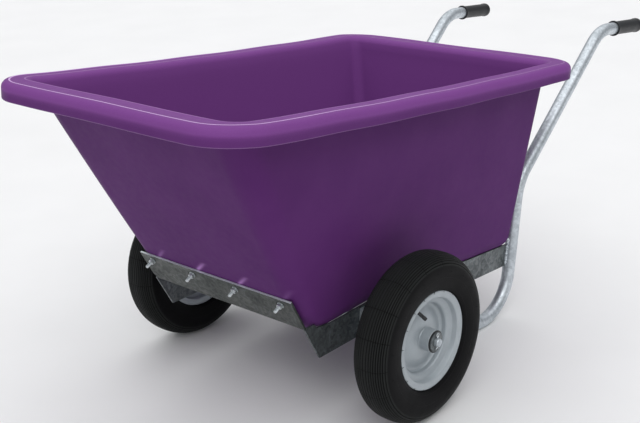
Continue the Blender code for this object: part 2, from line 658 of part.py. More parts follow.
def stand_on_origin(cart):
    """Moves the cart so that its box is centred on the origin and stands on z = 0."""
    bpy.context.view_layer.update()
    corners = [
        obj.matrix_world @ vertex.co
        for obj in bpy.data.objects
        if obj.type == "MESH" and not obj.hide_render
        for vertex in obj.data.vertices
    ]
    lows = [min(c[k] for c in corners) for k in range(3)]
    highs = [max(c[k] for c in corners) for k in range(3)]
    cart.location.x -= (lows[0] + highs[0]) / 2
    cart.location.z -= lows[2]
    bpy.context.view_layer.update()


def main():
    clear_scene()
    looks = make_materials()
    cart = empty("cart", location=(0, 0, TYRE_RADIUS))
    cart.rotation_euler = (0, standing_tilt(), 0)
    body = empty("body_datum", cart, (0, 0, -TYRE_RADIUS))
    tub = build_tub(looks["plastic"], body)
    build_front_plate(looks, body, tub)
    build_rails(looks, body)
    build_brackets(looks, body)
    build_cross_members(looks, body)
    build_handles(looks, body)
    axle = build_axle(looks, body)
    for side in SIDES:
        build_wheel(side, looks, body, axle)
    stand_on_origin(cart)


main()
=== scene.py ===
"""The looks of a garden cart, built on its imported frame.

Every shape is drawn in the trim of a level rim, as the chassis was laid out: +X to the handles, -Y to the
cart's left, the axle at x = 0 and 200 mm up. CART carries that drawing to where the cart stands. Units are
metres.
"""

import json
import math

import bmesh
import bpy
from mathutils import Matrix, Vector

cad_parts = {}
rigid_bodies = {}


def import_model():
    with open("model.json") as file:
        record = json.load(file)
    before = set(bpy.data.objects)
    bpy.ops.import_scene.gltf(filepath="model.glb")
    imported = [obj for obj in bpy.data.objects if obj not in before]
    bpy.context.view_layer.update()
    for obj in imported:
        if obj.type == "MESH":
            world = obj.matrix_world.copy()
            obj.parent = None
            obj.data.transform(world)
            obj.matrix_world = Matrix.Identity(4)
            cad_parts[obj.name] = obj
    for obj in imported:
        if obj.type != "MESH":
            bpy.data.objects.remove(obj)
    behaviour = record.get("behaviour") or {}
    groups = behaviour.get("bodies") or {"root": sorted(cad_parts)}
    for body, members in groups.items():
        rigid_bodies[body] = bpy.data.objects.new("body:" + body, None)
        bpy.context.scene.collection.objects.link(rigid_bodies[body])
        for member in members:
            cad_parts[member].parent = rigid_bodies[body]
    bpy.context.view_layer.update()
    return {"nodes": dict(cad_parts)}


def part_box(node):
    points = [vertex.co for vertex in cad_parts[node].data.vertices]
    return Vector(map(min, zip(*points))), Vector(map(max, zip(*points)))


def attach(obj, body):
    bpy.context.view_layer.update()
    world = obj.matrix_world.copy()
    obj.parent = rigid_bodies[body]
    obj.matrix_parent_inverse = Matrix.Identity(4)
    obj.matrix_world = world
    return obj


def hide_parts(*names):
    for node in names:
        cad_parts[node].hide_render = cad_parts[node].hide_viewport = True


for startup in list(bpy.data.objects):
    bpy.data.objects.remove(startup, do_unlink=True)
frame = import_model()

# ---- the frame's own places ----
TILT = math.radians(5.680174)
TYRE_RADIUS, HALF_TRACK = 0.200, 0.381
axle_low, axle_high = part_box("axle")
AXLE = Vector(((axle_low.x + axle_high.x) / 2, 0.0, (axle_low.z + axle_high.z) / 2))
CART = Matrix.Translation(AXLE) @ Matrix.Rotation(TILT, 4, "Y") @ Matrix.Translation((0, 0, -TYRE_RADIUS))
SIDES = {"left": -1, "right": 1}
BOLT_YS = (-0.210, -0.070, 0.070, 0.210)
LEAN_FRONT, LEAN_REAR, LEAN_SIDE = 0.633, 0.024, 0.139
UP_SLOPE = CART.to_3x3() @ Vector((-LEAN_FRONT, 0, 1)).normalized()


def wheel_place(side):
    """Where a wheel is drawn from: its centre, with +Y outwards."""
    half_turn = math.pi if side == "left" else 0.0
    middle = Matrix.Translation((0, SIDES[side] * HALF_TRACK, TYRE_RADIUS))
    return CART @ middle @ Matrix.Rotation(half_turn, 4, "Z")


# ---- materials ----
class Nodes:
    """A short way to write a material's node tree."""

    def __init__(self, name):
        self.material = bpy.data.materials.new(name)
        self.material.use_nodes = True
        self.tree = self.material.node_tree
        self.shader = self.tree.nodes["Principled BSDF"]
        self.place = self.add("ShaderNodeTexCoord").outputs["Object"]

    def add(self, kind, **settings):
        node = self.tree.nodes.new(kind)
        for key, value in settings.items():
            setattr(node, key, value)
        return node

    def set(self, node, **values):
        for key, value in values.items():
            socket = node.inputs[int(key[1:])] if key[0] == "_" else node.inputs[key.replace("_", " ")]
            if isinstance(value, bpy.types.NodeSocket):
                self.tree.links.new(value, socket)
            else:
                socket.default_value = value
        return node

    def noise(self, scale, detail=3.0, roughness=0.55, distortion=0.0, stretch=None):
        place = self.place
        if stretch:
            place = self.set(self.add("ShaderNodeMapping"), Vector=self.place, Scale=stretch).outputs[0]
        node = self.set(self.add("ShaderNodeTexNoise"), Vector=place, Scale=scale, Detail=detail,
                        Roughness=roughness, Distortion=distortion)
        return node.outputs["Fac"]

    def cells(self, scale, output, place=None):
        node = self.add("ShaderNodeTexVoronoi")
        self.set(node, Vector=place or self.place, Scale=scale)
        return node.outputs[output]

    def spread(self, value, low, high, to_low=0.0, to_high=1.0):
        node = self.add("ShaderNodeMapRange")
        self.set(node, _0=value, _1=low, _2=high, _3=to_low, _4=to_high)
        return node.outputs[0]

    def math(self, operation, first, second=0.0):
        node = self.add("ShaderNodeMath", operation=operation)
        return self.set(node, _0=first, _1=second).outputs[0]

    def mix(self, share, first, second):
        node = self.add("ShaderNodeMix", data_type="RGBA")
        return self.set(node, _0=share, _6=first, _7=second).outputs[2]

    def bump(self, height, strength, distance, normal=None):
        node = self.set(self.add("ShaderNodeBump"), Height=height, Strength=strength, Distance=distance)
        if normal is not None:
            self.set(node, Normal=normal)
        return node.outputs[0]

    def finish(self, color, roughness, normal=None, metallic=0.0, **more):
        self.set(self.shader, Base_Color=color, Roughness=roughness, Metallic=metallic, **more)
        if normal is not None:
            self.set(self.shader, Normal=normal)
        return self.material


def rgb(red, green, blue):
    return (red, green, blue, 1.0)


def plastic():
    """Moulded polyethylene: an orange-peel skin and faint clouds; the rim and inside painted lighter as lit
    from above, with painted highlights on the rim's ridges and above the bolts.
    """
    n = Nodes("purple_plastic")
    clouds = n.spread(n.noise(7.0, 3.0), 0.35, 0.65)
    speckle = n.spread(n.noise(900.0, 2.0), 0.3, 0.7)
    color = n.mix(clouds, rgb(0.086, 0.021, 0.122), rgb(0.098, 0.026, 0.136))
    color = n.mix(n.math("MULTIPLY", speckle, 0.30), color, rgb(0.122, 0.036, 0.164))
    # painted light: the rim's top and the inside, which face the sky, are painted about twice as light as the
    # walls
    painted_top_light = n.add("ShaderNodeAttribute", attribute_name="painted_top_light").outputs["Fac"]
    color = n.mix(painted_top_light, color, n.mix(speckle, rgb(0.188, 0.056, 0.250), rgb(0.215, 0.070, 0.280)))
    # painted highlight along the rim's parting-line ridge, the lip's rolled edge and the inner ledge's edge
    ridge_highlight = n.add("ShaderNodeAttribute", attribute_name="ridge_highlight").outputs["Fac"]
    color = n.mix(n.math("MULTIPLY", ridge_highlight, 0.90), color, rgb(0.700, 0.460, 0.800))
    # painted highlight standing for the lit faces of small dents above the bolts
    dent_highlight = n.add("ShaderNodeAttribute", attribute_name="dent_highlight").outputs["Fac"]
    color = n.mix(n.math("MULTIPLY", dent_highlight, 0.90), color, rgb(0.620, 0.330, 0.760))
    peel = n.bump(n.noise(420.0, 3.0), 0.16, 0.0008)
    waves = n.bump(n.noise(9.0, 2.0), 0.25, 0.0040, peel)
    roughness = n.spread(n.noise(60.0, 4.0), 0.3, 0.7, 0.40, 0.52)
    return n.finish(color, roughness, waves, Specular_IOR_Level=0.04)


def galvanised(name, dark, light, streaks=0.0, rough=(0.34, 0.55), edge=0.0):
    """Hot-dipped zinc: crystal spangles, clouds and fine scratches.

    streaks adds white run marks, and edge a painted highlight on the sloping plate's upward-facing cut edge."""
    n = Nodes(name)
    warp = n.add("ShaderNodeVectorMath", operation="MULTIPLY_ADD")
    soft = n.set(n.add("ShaderNodeTexNoise"), Vector=n.place, Scale=60.0, Detail=2.0)
    n.set(warp, _0=soft.outputs["Color"], _1=(0.006, 0.006, 0.006), _2=n.place)
    spangle = n.cells(150.0, output="Color", place=warp.outputs[0])
    tone = n.add("ShaderNodeRGBToBW")
    n.set(tone, Color=spangle)
    flake = n.spread(tone.outputs[0], 0.25, 0.75)
    cloud = n.spread(n.noise(14.0, 5.0, 0.6), 0.34, 0.66)
    color = n.mix(n.math("ADD", n.math("MULTIPLY", flake, 0.45), n.math("MULTIPLY", cloud, 0.55)),
                  rgb(*dark), rgb(*light))
    if streaks:
        run = n.spread(n.noise(26.0, 6.0, 0.7, 1.2, stretch=(1.0, 1.0, 0.45)), 0.56, 0.72)
        color = n.mix(n.math("MULTIPLY", run, streaks), color, rgb(0.62, 0.68, 0.72))
    # painted highlight on the plate's cut edges that face up the slope
    if edge:
        facing = n.add("ShaderNodeVectorMath", operation="DOT_PRODUCT")
        n.set(facing, _0=n.add("ShaderNodeNewGeometry").outputs["Normal"], _1=tuple(UP_SLOPE))
        upper_edge_highlight = n.spread(facing.outputs["Value"], 0.55, 0.85, 0.0, edge)
        color = n.mix(upper_edge_highlight, color, rgb(0.85, 0.93, 0.93))
    scratch = n.noise(300.0, 2.0, stretch=(0.25, 1.0, 1.0))
    skin = n.bump(n.math("ADD", scratch, n.math("MULTIPLY", cloud, 1.5)), 0.16, 0.0006)
    roughness = n.spread(n.math("ADD", n.math("MULTIPLY", cloud, 0.6), n.math("MULTIPLY", flake, 0.4)),
                         0.0, 1.0, rough[1], rough[0])
    return n.finish(color, roughness, skin, metallic=0.80)


def zinc():
    """Electroplated zinc with a faint blue cast and handling marks."""
    n = Nodes("zinc_plate")
    patch = n.spread(n.noise(120.0, 4.0), 0.35, 0.65)
    color = n.mix(patch, rgb(0.46, 0.50, 0.52), rgb(0.78, 0.82, 0.84))
    skin = n.bump(n.noise(700.0, 2.0), 0.12, 0.0003)
    return n.finish(color, n.spread(patch, 0.0, 1.0, 0.36, 0.24), skin, metallic=0.95)


def tyre_rubber():
    """Matt moulded rubber: faint mould rings on the sidewall and fine cross cuts over the ribs."""
    n = Nodes("tyre_rubber")
    apart = n.set(n.add("ShaderNodeSeparateXYZ"), Vector=n.place)
    x, y, z = apart.outputs
    radius = n.math("SQRT", n.math("ADD", n.math("MULTIPLY", x, x), n.math("MULTIPLY", z, z)))
    turn = n.math("DIVIDE", n.math("ARCTAN2", z, x), 2 * math.pi / 18)
    step = n.math("ABSOLUTE", n.math("SUBTRACT", n.math("FRACT", n.math("ADD", turn, 20.5)), 0.5))
    from_cut = n.math("MULTIPLY", n.math("MULTIPLY", step, radius), 2 * math.pi / 18)
    cut = n.spread(from_cut, 0.0006, 0.0013, 1.0, 0.0)
    groove = n.add("ShaderNodeAttribute", attribute_name="groove").outputs["Fac"]
    tread = n.spread(radius, 0.1740, 0.1770)
    sipe = n.math("MULTIPLY", cut, tread)
    ring = n.math("PINGPONG", n.math("SUBTRACT", radius, 0.1262), 0.0115)
    sidewall = n.spread(radius, 0.1700, 0.1710, 1.0, 0.0)
    line = n.math("MULTIPLY", n.spread(ring, 0.0003, 0.0007, 1.0, 0.0), sidewall)
    dust = n.spread(n.noise(40.0, 5.0, 0.65), 0.35, 0.75)
    color = n.mix(dust, rgb(0.0026, 0.0025, 0.0030), rgb(0.0056, 0.0056, 0.0062))
    # painted highlight on the tread's ribs
    color = n.mix(n.math("MULTIPLY", tread, 0.6), color, rgb(0.0240, 0.0260, 0.0255))
    # painted shade in the tread's grooves and cross cuts
    color = n.mix(groove, color, rgb(0.0015, 0.0015, 0.0015))
    color = n.mix(sipe, color, rgb(0.0020, 0.0020, 0.0020))
    cuts = n.bump(n.math("SUBTRACT", line, n.math("MULTIPLY", sipe, 2.0)), 0.5, 0.0006)
    skin = n.bump(n.noise(500.0, 3.0), 0.12, 0.0005, cuts)
    return n.finish(color, n.spread(dust, 0.0, 1.0, 0.46, 0.62), skin, Specular_IOR_Level=0.09)


def black_rubber():
    """The grips' smoother rubber, with a faint bloom."""
    n = Nodes("black_rubber")
    bloom = n.spread(n.noise(55.0, 4.0), 0.35, 0.7)
    color = n.mix(bloom, rgb(0.0070, 0.0078, 0.0088), rgb(0.0140, 0.0160, 0.0180))
    skin = n.bump(n.noise(650.0, 2.0), 0.10, 0.0004)
    return n.finish(color, n.spread(bloom, 0.0, 1.0, 0.38, 0.52), skin)


def silver_paint():
    """Grey enamel sprayed on pressed steel."""
    n = Nodes("silver_paint")
    flow = n.spread(n.noise(30.0, 4.0), 0.35, 0.65)
    fleck = n.spread(n.cells(1600.0, output="Distance"), 0.1, 0.6)
    color = n.mix(flow, rgb(0.330, 0.368, 0.393), rgb(0.375, 0.413, 0.438))
    color = n.mix(n.math("MULTIPLY", fleck, 0.25), color, rgb(0.45, 0.49, 0.52))
    skin = n.bump(n.noise(220.0, 3.0), 0.10, 0.0006)
    return n.finish(color, n.spread(flow, 0.0, 1.0, 0.33, 0.42), skin, metallic=0.25, Coat_Weight=0.25,
                    Coat_Roughness=0.15)


def bright_steel():
    n = Nodes("bright_steel")
    lap = n.spread(n.noise(400.0, 3.0, stretch=(1.0, 6.0, 1.0)), 0.3, 0.7)
    color = n.mix(lap, rgb(0.50, 0.50, 0.51), rgb(0.62, 0.62, 0.63))
    return n.finish(color, n.spread(lap, 0.0, 1.0, 0.22, 0.34), n.bump(lap, 0.1, 0.0002), metallic=1.0)


def floor_paint():
    n = Nodes("floor_paint")
    tone = n.spread(n.noise(3.0, 3.0), 0.3, 0.7)
    color = n.mix(tone, rgb(0.86, 0.86, 0.86), rgb(0.88, 0.88, 0.88))
    return n.finish(color, n.spread(tone, 0.0, 1.0, 0.55, 0.65))


LOOKS = {
    "purple_plastic": plastic(),
    "galvanised_steel": galvanised("galvanised_tube", (0.42, 0.46, 0.49), (0.68, 0.73, 0.77)),
    # the plate and the rails are darker copies of the tubes' galvanised steel: partly duller zinc, partly
    # painted shade under the tub
    "shaded_plate_steel": galvanised("galvanised_plate_shaded", (0.046, 0.053, 0.051), (0.110, 0.118, 0.112), streaks=0.12,
                              rough=(0.38, 0.60), edge=0.9),
    "shaded_rail_steel": galvanised("galvanised_rail_shaded", (0.072, 0.082, 0.086), (0.215, 0.233, 0.240), streaks=0.30,
                             rough=(0.36, 0.60)),
    "zinc_plate": zinc(),
    "tyre_rubber": tyre_rubber(),
    "black_rubber": black_rubber(),
    "silver_paint": silver_paint(),
    "bright_steel": bright_steel(),
}


# ---- mesh helpers ----
def face_out(mesh):
    shape = bmesh.new()
    shape.from_mesh(mesh)
    bmesh.ops.recalc_face_normals(shape, faces=shape.faces)
    shape.to_mesh(mesh)
    shape.free()


def piece(name, points, faces, look, body, replaces=(), place=None, sharp=32.0):
    """A finished piece: drawn in its own place, facing out, riding on its body, standing for its CAD nodes.

    Its object is only shifted, and the turn is in the mesh, so that its box lies along the world's axes."""
    place = CART if place is None else place
    mesh = bpy.data.meshes.new(name)
    mesh.from_pydata([tuple(p) for p in points], [], faces)
    mesh.transform(place.to_3x3().to_4x4())
    face_out(mesh)
    mesh.shade_smooth()
    mesh.set_sharp_from_angle(angle=math.radians(sharp))
    mesh.materials.append(LOOKS[look])
    made = bpy.data.objects.new(name, mesh)
    bpy.context.scene.collection.objects.link(made)
    made.matrix_world = Matrix.Translation(place.translation)
    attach(made, body)
    if replaces:
        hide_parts(*replaces)
    return made


def give(made, name, values):
    """A number at each point of a piece, for its material; points past the end of the list get none."""
    values = values + [0.0] * (len(made.data.vertices) - len(values))
    made.data.attributes.new(name, "FLOAT", "POINT").data.foreach_set("value", values)


def ring_faces(rings, count, closed):
    faces = []
    for i in range(rings if closed else rings - 1):
        a, b = i * count, (i + 1) % rings * count
        faces += [(a + j, a + (j + 1) % count, b + (j + 1) % count, b + j) for j in range(count)]
    return faces


def lathe(profile, segments=96, axis="Y", closed=True, flute=None):
    """(points, faces) of a profile of (along, radius) pairs turned about the axis; flute changes the radius."""
    points = []
    for k in range(segments):
        turn = 2 * math.pi * k / segments
        for along, radius in profile:
            reach = radius if flute is None else flute(along, radius, turn)
            u, w = reach * math.cos(turn), reach * math.sin(turn)
            points.append({"Y": (u, along, w), "X": (along, u, w), "Z": (u, w, along)}[axis])
    count = len(profile)
    faces = []
    for k in range(segments):
        a, b = k * count, (k + 1) % segments * count
        last = count if closed else count - 1
        faces += [(a + j, a + (j + 1) % count, b + (j + 1) % count, b + j) for j in range(last)]
    if not closed:
        faces.append(tuple(k * count for k in range(segments)))
        faces.append(tuple(k * count + count - 1 for k in range(segments)))
    return points, faces


def rounded(corners, radius, steps=4):
    """A line of 2-D corners with each inner corner rounded off."""
    line = [Vector(corners[0])]
    for before, corner, after in zip(corners, corners[1:], corners[2:]):
        before, corner, after = Vector(before), Vector(corner), Vector(after)
        reach = min(radius, 0.45 * (before - corner).length, 0.45 * (after - corner).length)
        first = corner + (before - corner).normalized() * reach
        last = corner + (after - corner).normalized() * reach
        for k in range(steps + 1):
            t = k / steps
            line.append((1 - t) ** 2 * first + 2 * t * (1 - t) * corner + t * t * last)
    line.append(Vector(corners[-1]))
    return [tuple(p) for p in line]


def loop(corners, radius, steps=4):
    """A closed line of 2-D corners, all of them rounded off."""
    middle = tuple((Vector(corners[-1]) + Vector(corners[0])) / 2)
    return rounded([middle] + list(corners) + [middle], radius, steps)[:-1]


def smooth_line(knots, steps):
    """A Catmull-Rom curve through 2-D knots."""
    line = []
    ends = [2 * Vector(knots[0]) - Vector(knots[1])] + [Vector(k) for k in knots]
    ends.append(2 * Vector(knots[-1]) - Vector(knots[-2]))
    for a, b, c, d in zip(ends, ends[1:], ends[2:], ends[3:]):
        for k in range(steps):
            t = k / steps
            line.append(0.5 * (2 * b + (c - a) * t + (2 * a - 5 * b + 4 * c - d) * t * t
                               + (3 * b - a - 3 * c + d) * t ** 3))
    line.append(Vector(knots[-1]))
    return line


def arc(centre, radius, start, end, segments):
    turns = [math.radians(start + (end - start) * k / segments) for k in range(segments + 1)]
    return [(centre[0] + radius * math.cos(t), centre[1] + radius * math.sin(t)) for t in turns]


def filleted(corners, radii, segments=20):
    """A route through 2-D corners, with an arc of the given radius at each inner one."""
    route = [Vector(corners[0])]
    for before, corner, after, radius in zip(corners, corners[1:], corners[2:], radii):
        corner = Vector(corner)
        to_before = (Vector(before) - corner).normalized()
        to_after = (Vector(after) - corner).normalized()
        half = to_before.angle(to_after) / 2
        centre = corner + (to_before + to_after).normalized() * radius / math.sin(half)
        first = corner + to_before * radius / math.tan(half) - centre
        last = corner + to_after * radius / math.tan(half) - centre
        opening = first.angle(last)
        for k in range(segments + 1):
            t = k / segments
            bend = math.sin((1 - t) * opening) * first + math.sin(t * opening) * last
            route.append(centre + bend / math.sin(opening))
    route.append(Vector(corners[-1]))
    return route


def sweep(route, radii, segments, side, close_ends=True):
    """(points, faces) of a round bar along 3-D points. radii gives its radius at each; side isn't along it."""
    points = []
    for i, point in enumerate(route):
        along = (route[min(i + 1, len(route) - 1)] - route[max(i - 1, 0)]).normalized()
        across = (side - side.dot(along) * along).normalized()
        up = across.cross(along)
        for k in range(segments):
            turn = 2 * math.pi * k / segments
            points.append(point + radii[i] * (math.cos(turn) * across + math.sin(turn) * up))
    faces = ring_faces(len(route), segments, False)
    if close_ends:
        last = (len(route) - 1) * segments
        faces += [tuple(range(segments)), tuple(range(last, last + segments))]
    return points, faces


def joined(*parts):
    """One (points, faces) pair from several."""
    points, faces = [], []
    for more, more_faces in parts:
        faces += [tuple(i + len(points) for i in face) for face in more_faces]
        points += list(more)
    return points, faces


# ---- the tub ----
RIM_TOP, RIM_LIP, RIM_SHOULDER, WALL = 0.760, 0.040, 0.016, 0.005
# plans: front, rear, half width, and the front and rear corners' radii
RIM = (-0.605, 0.669, 0.384, 0.111, 0.100)
LEDGE = (-0.546, 0.608, 0.338, 0.048, 0.044)
LEDGE_ROUND = 0.020
# the walls, 260 mm up
WALL_Z, WALL_FRONT, WALL_REAR, WALL_SIDE = 0.260, -0.2422, 0.5837, 0.2547
FRONT_BOW = 0.012  # how far the front wall's top stands back from a flat wall
FLOOR_Z, FLOOR_ROUND, FLOOR_DIP = 0.2475, 0.037, 0.12
CORNER_STEPS, SIDE_STEPS, END_STEPS = 14, 44, 100


def plan(front, rear, half_width, front_round, rear_round):
    """A plan outline, anticlockwise from the rear right corner, with its straight runs divided too."""
    right_rear = arc((rear - rear_round, half_width - rear_round), rear_round, 0, 90, CORNER_STEPS)
    right_front = arc((front + front_round, half_width - front_round), front_round, 90, 180, CORNER_STEPS)
    half = list(right_rear)
    x0, x1 = right_rear[-1][0], right_front[0][0]
    half += [(x0 + (x1 - x0) * k / SIDE_STEPS, half_width) for k in range(1, SIDE_STEPS)]
    half += right_front
    nose = right_front[-1][1]
    across = [(front, nose - 2 * nose * k / END_STEPS) for k in range(1, END_STEPS)]
    tail = right_rear[0][1]
    back = [(rear, -tail + 2 * tail * k / END_STEPS) for k in range(1, END_STEPS)]
    return half + across + [(x, -y) for x, y in half[::-1]] + back


def wall_ring(z, inset, follow):
    """The wall's plan at a height; follow says how much it dips along with the sloping floor."""
    up = z - WALL_Z
    share = min(max(up / (RIM_TOP - WALL_Z), 0.0), 1.0)
    front = WALL_FRONT - LEAN_FRONT * up + FRONT_BOW * share ** 2 + inset * math.hypot(1, LEAN_FRONT)
    rear = WALL_REAR + LEAN_REAR * up - inset
    side = WALL_SIDE + LEAN_SIDE * up - inset
    nose = min(max(1 - up / 0.040, 0.0), 1.0)
    front_round = max(0.045 + 0.026 * share + 0.025 * nose - inset * 0.8, 0.010)
    ring = []
    for x, y in plan(front, rear, side, front_round, max(0.030 - inset * 0.8, 0.010)):
        drop = -FLOOR_DIP * max(0.0, -x) * follow
        ahead = max(0.0, x / front) if x < 0 else 0.0
        ring.append((x - LEAN_FRONT * drop * ahead, y * (1 + LEAN_SIDE * drop / side), z + drop))
    return ring


def level_ring(outline, z, inset):
    front, rear, half, front_round, rear_round = outline
    return [(x, y, z) for x, y in plan(front + inset, rear - inset, half - inset, front_round - inset,
                                       rear_round - inset)]


def between(first, last, share):
    return [tuple(a + (b - a) * share for a, b in zip(p, q)) for p, q in zip(first, last)]


def wall_rings(offset, floor_level, floor_round, levels):
    """One face of the wall, from the floor's edge to just under the rim, with a ring at each of the levels."""
    rings = []
    for step in range(9):
        turn = math.radians(90 - 90 * step / 8)
        sink = 1 - math.sin(turn)
        rings.append(wall_ring(floor_level + floor_round * sink, offset + floor_round * (1 - math.cos(turn)),
                               1.0 - 0.15 * sink))
    for z in levels:
        rings.append(wall_ring(z, offset, max(0.85 * (1 - (z - 0.2875) / 0.110), 0.0)))
    return rings


def sag(point):
    """The long sides of the rim hang a little between their corners, and no moulding is quite flat."""
    x, y, z = point
    high = min(max((z - 0.40) / 0.32, 0.0), 1.0)
    wide = min(max((abs(y) - 0.15) / 0.15, 0.0), 1.0)
    along = max(0.0, 1 - ((x - 0.02) / 0.56) ** 2)
    ripple = 0.0006 * math.sin(23 * x + 2.0) * math.cos(17 * y) * high
    belly = 0.0030 * math.sin(math.pi * min(max((z - 0.27) / 0.46, 0.0), 1.0)) * along * wide
    return (x, y + math.copysign(belly, y) * (abs(y) > 0.2), z - 0.0072 * along * high * high * wide + ripple)


def build_tub():
    """The tub as one skin: up the outside, under and over the rim, and down the inside, with both floors."""
    rings, ridge_highlights, painted_top_lights = [], [], []

    # each ring carries how much painted light it gets where it faces the sky, and how much painted highlight
    # lies on a ridge
    def put(ring, ridge_highlight=0.0, painted_top_light=1.0):
        rings.append(ring)
        ridge_highlights.append(ridge_highlight)
        painted_top_lights.append(painted_top_light)

    upper = [0.376 + (RIM_TOP - 0.036 - 0.376) * step / 18 for step in range(1, 19)]
    outside = wall_rings(0.0, FLOOR_Z, FLOOR_ROUND, [0.288 + 0.0022 * step for step in range(41)] + upper)
    for ring in outside:
        put(ring, painted_top_light=0.0)
    under = level_ring(RIM, RIM_TOP - WALL, 0.040)
    for share in (0.25, 0.6, 0.9):
        bowed = between(outside[-1], under, share)
        lift = 0.006 * math.sin(math.pi * share)
        put([(x, y, z + lift) for x, y, z in bowed], painted_top_light=0.0)
    put(under, painted_top_light=0.0)
    for z, inset in ((WALL, 0.018), (WALL + 0.003, 0.009), (WALL + 0.010, WALL), (0.034, WALL)):
        put(level_ring(RIM, RIM_TOP - z, inset), painted_top_light=0.0)
    for turn in range(0, 181, 30):
        lean = math.radians(turn)
        lift, inset = 0.0025 - 0.0025 * math.sin(lean), 0.0025 + 0.0025 * math.cos(lean)
        put(level_ring(RIM, RIM_TOP - RIM_LIP + lift, inset), 0.35 * math.sin(lean), 0.15)
    for z, painted_top_light in ((0.034, 0.15), (0.028, 0.18), (0.022, 0.40)):
        put(level_ring(RIM, RIM_TOP - z, 0.0), painted_top_light=painted_top_light)
    for step in range(9):
        turn = math.radians(90 * step / 8)
        put(level_ring(RIM, RIM_TOP - RIM_SHOULDER * (1 - math.sin(turn)), RIM_SHOULDER * (1 - math.cos(turn))))
    # the parting-line ridge, with a painted highlight along it
    put(level_ring(RIM, RIM_TOP + 0.0006, RIM_SHOULDER + 0.0004), 1.0)
    put(level_ring(RIM, RIM_TOP + 0.0007, RIM_SHOULDER + 0.0030), 1.0)
    put(level_ring(RIM, RIM_TOP - 0.0003, RIM_SHOULDER + 0.0048))
    flat, edge = rings[-1], level_ring(LEDGE, RIM_TOP, -0.0010)
    for share in (0.35, 0.7):
        put(between(flat, edge, share))
    put(edge)
    put(level_ring(LEDGE, RIM_TOP + 0.0003, 0.0), 0.45)
    for step in range(1, 9):
        lean = math.radians(76 * step / 8)
        put(level_ring(LEDGE, RIM_TOP - LEDGE_ROUND * (1 - math.cos(lean)), LEDGE_ROUND * math.sin(lean)))
    lower = [0.288, 0.310, 0.332, 0.354, 0.376]
    # the inside walls, painted lighter as lit from above
    for ring in wall_rings(WALL, FLOOR_Z + WALL, FLOOR_ROUND - WALL, lower + upper)[::-1]:
        put(ring, painted_top_light=0.90)

    rings = [[sag(p) for p in ring] for ring in rings]
    count = len(rings[0])
    points = [p for ring in rings for p in ring]
    faces = ring_faces(len(rings), count, False)
    run = CORNER_STEPS * 2 + SIDE_STEPS + 1
    for first in (0, (len(rings) - 1) * count):
        right = [first + k for k in range(run)]
        left = [first + run + END_STEPS - 1 + run - 1 - k for k in range(run)]
        nose = [first + run + k for k in range(END_STEPS - 1)]
        tail = [first + 2 * run + END_STEPS - 1 + k for k in range(END_STEPS - 1)]
        faces += [(right[k], right[k + 1], left[k + 1], left[k]) for k in range(1, run - 2)]
        faces.append(tuple([right[run - 2], right[run - 1]] + nose + [left[run - 1], left[run - 2]]))
        faces.append(tuple([right[1], right[0]] + tail[::-1] + [left[0], left[1]]))
    made = piece("tub_shell", points, faces, "purple_plastic", "cart", ["tub"], sharp=50.0)
    # the painted highlight along the ridges fades towards the rear
    give(made, "ridge_highlight", [c * (1 - 0.75 * min(max((p[0] + 0.45) / 0.9, 0.0), 1.0))
                          for c, ring in zip(ridge_highlights, rings) for p in ring])
    give(made, "painted_top_light", [w for w in painted_top_lights for _ in range(count)])
    give(made, "dent_highlight", [dent_highlight_at(p) for p in points])


def dent_highlight_at(point):
    """How much painted highlight, for the lit faces of small dents, lies where each bolt's head pulls at the
    plastic: short flares that lean to the cart's left.
    """
    x, y, z = point
    up = (z - 0.318) / 0.036
    if x > -0.27 or not 0.0 < up < 1.0:
        return 0.0
    flares = []
    for start, lean, strength in ((0.1890, 0.044, 0.45), (0.0560, 0.048, 1.0), (-0.0790, 0.048, 0.8),
                                  (-0.2200, 0.030, 0.15)):
        off = (y - start + lean * up) / (0.0050 + 0.0030 * up)
        flares.append(strength * math.exp(-off * off))
    return max(flares) * min(1.0, 4 * up) * (1 - up) ** 0.6


# ---- chassis ----
def plate_frame():
    """Axes of the front plate: X to the left, Y up the slope, Z out of its face."""
    up_slope = Vector((-LEAN_FRONT, 0, 1)).normalized()
    left = Vector((0, -1, 0))
    rotation = Matrix((left, up_slope, left.cross(up_slope))).transposed()
    return CART @ Matrix.Translation((-0.2873, 0, 0.321)) @ rotation.to_4x4()


def thread(low, high, radius, pitch=0.00125):
    """A profile line of thread ridges from low to high."""
    count = int((high - low) / pitch)
    line = []
    for k in range(count):
        line += [(low + pitch * k, radius - 0.0005), (low + pitch * (k + 0.5), radius)]
    return line


def build_fasteners():
    """The four cup-head bolts through the nose, with their washers and hexagon nuts."""
    slope = plate_frame()
    for number, y in enumerate(BOLT_YS, start=1):
        spot = slope @ Matrix.Translation((-y, -0.0172, 0)) @ Matrix.Rotation(0.35 * number, 4, "Z")
        under = -0.0106 - (0.0025 if number in (1, 4) else 0.0006)
        head = [(under - 0.0045, 0.0002), (under - 0.0044, 0.0040), (under - 0.0036, 0.0070),
                (under - 0.0018, 0.0094), (under - 0.0004, 0.0100), (under, 0.0098), (under, 0.0040)]
        shank = [(0.0, 0.0040)] + thread(0.0010, 0.0226, 0.0040) + [(0.0230, 0.0034), (0.0235, 0.0028)]
        points, faces = lathe(head + shank, 32, "Z", closed=False)
        piece(f"nose_bolt_{number}", points, faces, "zinc_plate", "cart", [f"front_bolt_{number}"], spot)
        ring = loop([(0.0003, 0.0043), (0.0003, 0.0085), (0.0019, 0.0085), (0.0019, 0.0043)], 0.0004, 2)
        points, faces = lathe(ring, 40, "Z")
        piece(f"nose_washer_{number}", points, faces, "zinc_plate", "cart", [f"front_washer_{number}"], spot)
        points, faces = hexagon(0.0022, 0.0087, 0.0065, 0.0043)
        piece(f"nose_nut_{number}", points, faces, "zinc_plate", "cart", [f"front_nut_{number}"], spot,
              sharp=20.0)


